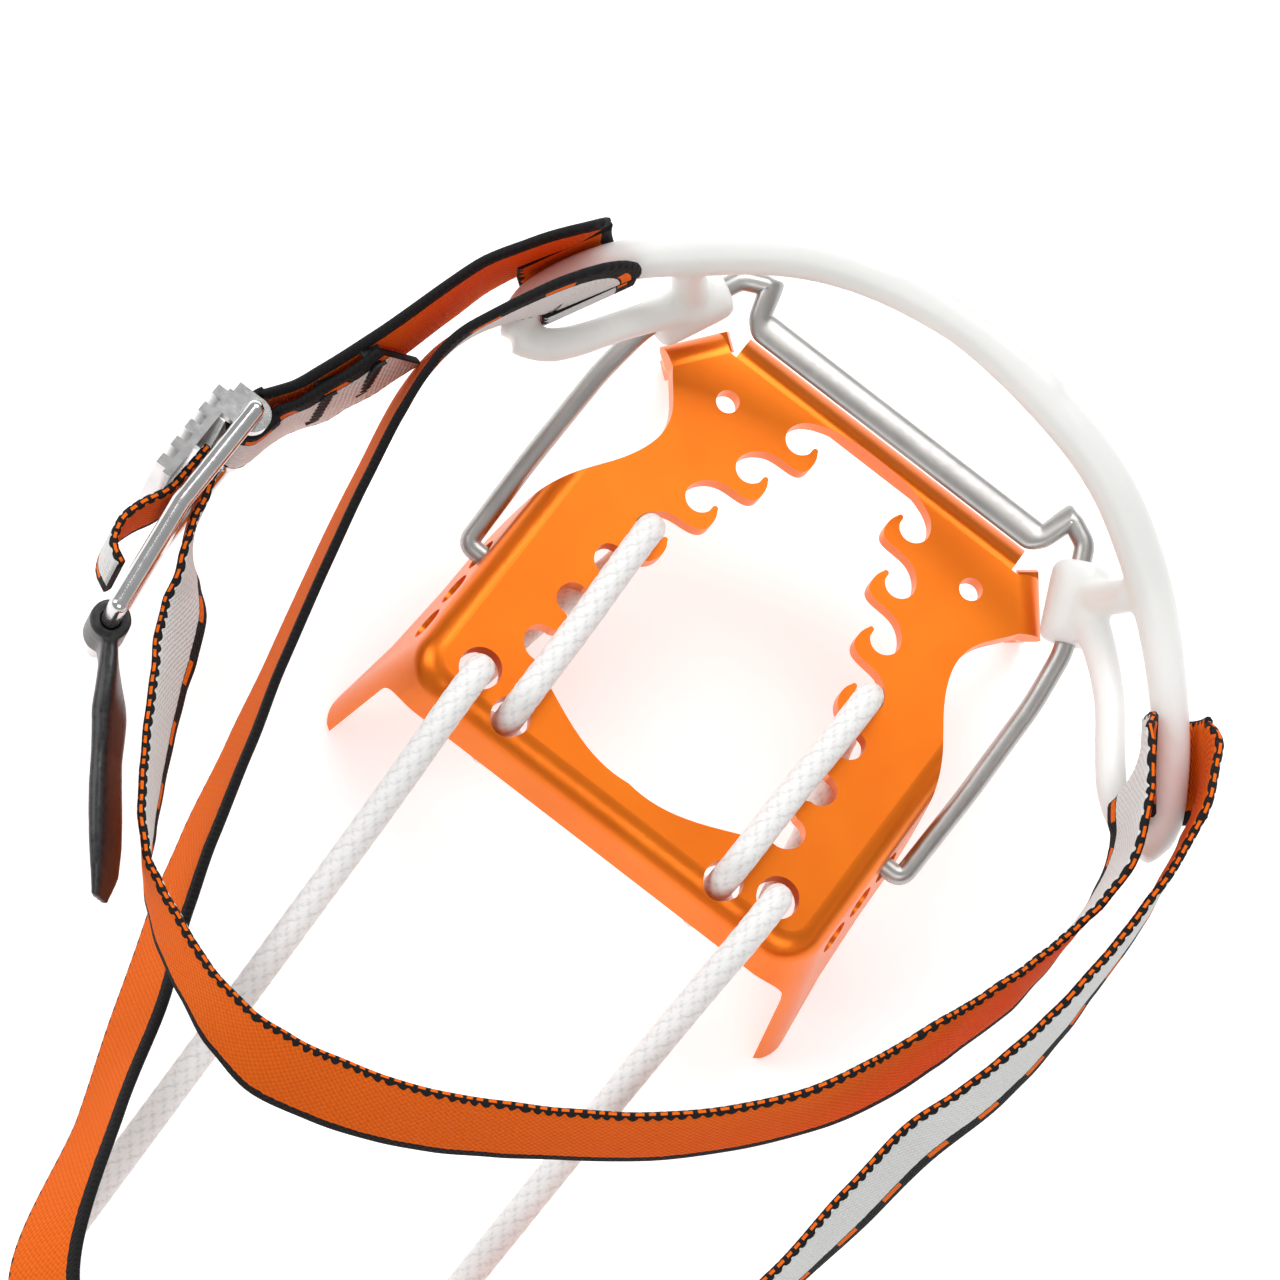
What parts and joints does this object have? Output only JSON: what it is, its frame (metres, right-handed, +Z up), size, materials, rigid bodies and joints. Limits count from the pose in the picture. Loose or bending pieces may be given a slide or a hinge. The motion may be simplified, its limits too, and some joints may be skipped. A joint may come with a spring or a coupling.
{
  "type": "strap-on crampon heel unit",
  "caption": "Heel unit of a light strap-on crampon: anodised plate with points, wire bail with a heel hoop, linking cord, and an instep strap with a buckle.",
  "frame": {"origin": "midway between the two small round holes, on the plate's top face", "axes": "+X to the right along the row of the two holes, +Y towards the heel, +Z up out of the plate's top face"},
  "size_m": [0.1524, 0.2388, 0.067],
  "materials": {
    "anodised": "orange anodised, satin",
    "wire": "satin stainless",
    "hoop": "translucent white elastomer",
    "cord": "white braid",
    "webbing": "orange one side, light grey the other, black selvedges",
    "thread": "black stitching",
    "polished": "polished steel",
    "tab": "black, slightly glossy"
  },
  "bodies": {
    "root": {"heel_plate": "anodised", "link_cord": "cord", "stopper_knot_right": "cord", "stopper_knot_left": "cord", "strap_wrap_right": "webbing", "strap_wrap_left": "webbing", "strap_instep": "webbing", "strap_adjuster": "webbing", "strap_buckle_side": "webbing", "strap_tail": "webbing", "bar_tacks": "thread", "buckle_frame": "polished"},
    "bail": {"wire_bail": "wire", "heel_hoop": "hoop"},
    "grip": {"grip_plate": "polished"},
    "tab": {"pull_tab": "tab"}
  },
  "joints": [
    {"name": "bail_hinge", "type": "hinge", "parent": "root", "child": "bail", "pos_m": [0, -0.0393, -0.007], "axis": [1, 0, 0], "range_deg": [0, 70], "deforming": ["strap_wrap_right", "strap_wrap_left", "strap_instep", "strap_adjuster", "strap_buckle_side", "strap_tail", "bar_tacks"]},
    {"name": "grip_hinge", "type": "hinge", "parent": "root", "child": "grip", "pos_m": [-0.074, -0.0495, 0], "axis": [0, 0, 1], "range_deg": [-25, 0]},
    {"name": "tab_hinge", "type": "hinge", "parent": "root", "child": "tab", "pos_m": [-0.0718, -0.0845, 0], "axis": [0, 0, 1], "range_deg": [-100, 4]}
  ]
}
